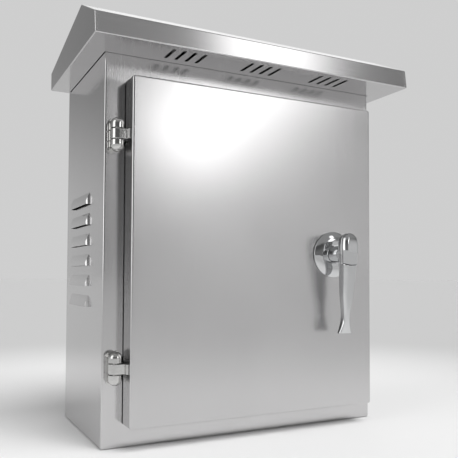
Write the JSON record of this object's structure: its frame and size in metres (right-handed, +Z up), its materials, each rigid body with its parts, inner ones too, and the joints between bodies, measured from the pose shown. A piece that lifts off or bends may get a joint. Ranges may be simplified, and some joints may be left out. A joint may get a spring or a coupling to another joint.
{
  "type": "roadside utility cabinet",
  "caption": "Outdoor wall cabinet in folded stainless sheet: gabled rain canopy with vent slots, louvred sides, proud door on outside hinges, lever lock with a swinging key cover.",
  "frame": {"origin": "centre of the flat base of the case, on the surface it stands on", "axes": "+X to the right seen from the front, +Y to the back (the wall side), +Z up"},
  "size_m": [0.454, 0.2764, 0.5374],
  "materials": {
    "satin_stainless": "satin, fine vertical grain",
    "polished_stainless": "polished cast stainless",
    "chrome_plate": "mirror chrome on zinc casting",
    "lock_brass": "turned",
    "galvanised_sheet": "galvanised",
    "plated_hardware": "zinc plated",
    "foam_seal": "closed-cell foam",
    "black_rubber": "matt"
  },
  "bodies": {
    "case": {"case_shell": "satin_stainless", "back_panel": "satin_stainless", "canopy": "satin_stainless", "hinge_bracket_upper": "polished_stainless", "hinge_bracket_lower": "polished_stainless", "hinge_pin_upper": "polished_stainless", "hinge_pin_lower": "polished_stainless", "hinge_bracket_screws": "plated_hardware", "mounting_plate": "galvanised_sheet", "plate_bosses": "plated_hardware", "plate_screws": "plated_hardware", "earth_stud": "plated_hardware", "gland_plate": "satin_stainless", "gland_gasket": "black_rubber", "gland_studs": "plated_hardware", "gland_nuts": "plated_hardware", "cable_grommets": "black_rubber"},
    "door": {"door_panel": "satin_stainless", "door_gasket": "foam_seal", "hinge_arm_upper": "polished_stainless", "hinge_arm_lower": "polished_stainless", "hinge_arm_screws": "plated_hardware", "lock_rose": "chrome_plate", "rose_gasket": "black_rubber", "lock_washer": "plated_hardware", "lock_nut": "plated_hardware", "door_earth_stud": "plated_hardware", "door_earth_nut": "plated_hardware"},
    "handle": {"handle_lever": "chrome_plate", "lock_spindle": "plated_hardware", "lock_cam": "plated_hardware", "cam_bolt": "plated_hardware"},
    "key_flap": {"key_cover": "chrome_plate", "cover_rivet": "chrome_plate"},
    "key_barrel": {"key_cylinder": "lock_brass"}
  },
  "joints": [
    {"name": "door_swing", "type": "hinge", "parent": "case", "child": "door", "pos_m": [-0.1865, -0.1109, 0.2375], "axis": [0, 0, -1], "range_deg": [0, 120]},
    {"name": "handle_turn", "type": "hinge", "parent": "door", "child": "handle", "pos_m": [0.114, -0.168, 0.2375], "axis": [0, 1, 0], "range_deg": [0, 90]},
    {"name": "key_cover_swing", "type": "hinge", "parent": "handle", "child": "key_flap", "pos_m": [0.114, -0.168, 0.254], "axis": [0, 1, 0], "range_deg": [0, 100]},
    {"name": "key_turn", "type": "hinge", "parent": "handle", "child": "key_barrel", "pos_m": [0.114, -0.168, 0.2375], "axis": [0, 1, 0], "range_deg": [0, 90]}
  ]
}
